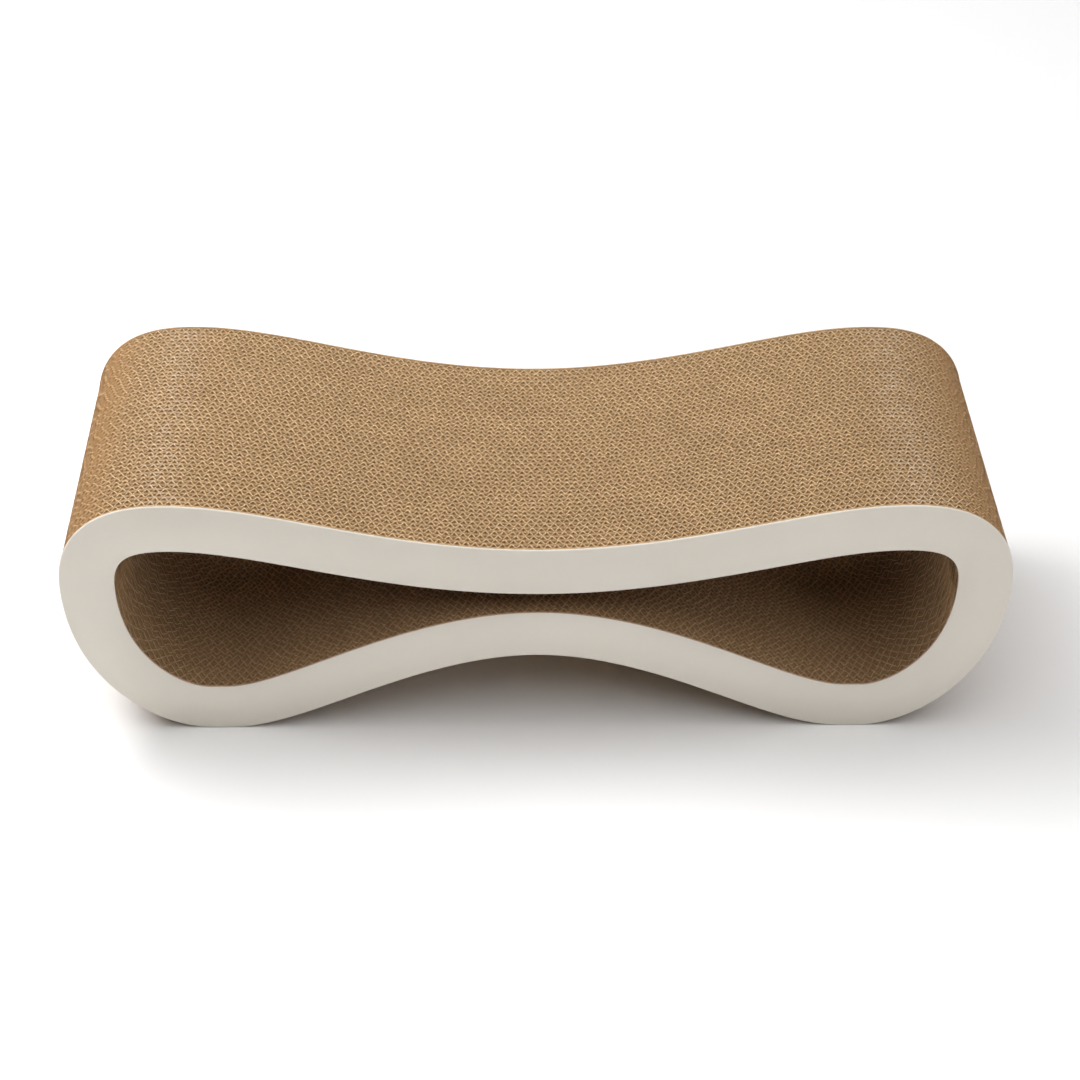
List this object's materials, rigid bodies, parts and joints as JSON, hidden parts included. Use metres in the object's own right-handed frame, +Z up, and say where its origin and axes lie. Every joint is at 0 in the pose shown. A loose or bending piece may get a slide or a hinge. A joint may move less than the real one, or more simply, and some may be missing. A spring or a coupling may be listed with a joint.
{
  "type": "cat scratcher",
  "caption": "Long cat scratcher: a figure-eight ring of stacked corrugated board with white side panels, to scratch or lie on.",
  "frame": {"origin": "on the floor, under the middle of the ring", "axes": "+X along the length to the right-hand loop, +Y through the plies from the front panel to the rear one, +Z up"},
  "size_m": [0.7, 0.2468, 0.2075],
  "materials": {
    "side_panel": "solid board faced with matt off-white paper",
    "corrugated_board": "raw brown kraft with open cut edges"
  },
  "bodies": {
    "root": {"front_side_panel": "side_panel", "rear_side_panel": "side_panel", "corrugated_ply_01": "corrugated_board", "corrugated_ply_02": "corrugated_board", "corrugated_ply_03": "corrugated_board", "corrugated_ply_04": "corrugated_board", "corrugated_ply_05": "corrugated_board", "corrugated_ply_06": "corrugated_board", "corrugated_ply_07": "corrugated_board", "corrugated_ply_08": "corrugated_board", "corrugated_ply_09": "corrugated_board", "corrugated_ply_10": "corrugated_board", "corrugated_ply_11": "corrugated_board", "corrugated_ply_12": "corrugated_board", "corrugated_ply_13": "corrugated_board", "corrugated_ply_14": "corrugated_board", "corrugated_ply_15": "corrugated_board", "corrugated_ply_16": "corrugated_board", "corrugated_ply_17": "corrugated_board", "corrugated_ply_18": "corrugated_board", "corrugated_ply_19": "corrugated_board", "corrugated_ply_20": "corrugated_board", "corrugated_ply_21": "corrugated_board", "corrugated_ply_22": "corrugated_board", "corrugated_ply_23": "corrugated_board", "corrugated_ply_24": "corrugated_board", "corrugated_ply_25": "corrugated_board", "corrugated_ply_26": "corrugated_board", "corrugated_ply_27": "corrugated_board", "corrugated_ply_28": "corrugated_board", "corrugated_ply_29": "corrugated_board", "corrugated_ply_30": "corrugated_board", "corrugated_ply_31": "corrugated_board", "corrugated_ply_32": "corrugated_board", "corrugated_ply_33": "corrugated_board", "corrugated_ply_34": "corrugated_board", "corrugated_ply_35": "corrugated_board", "corrugated_ply_36": "corrugated_board", "corrugated_ply_37": "corrugated_board", "corrugated_ply_38": "corrugated_board", "corrugated_ply_39": "corrugated_board", "corrugated_ply_40": "corrugated_board", "corrugated_ply_41": "corrugated_board", "corrugated_ply_42": "corrugated_board", "corrugated_ply_43": "corrugated_board", "corrugated_ply_44": "corrugated_board", "corrugated_ply_45": "corrugated_board", "corrugated_ply_46": "corrugated_board"}
  },
  "joints": []
}
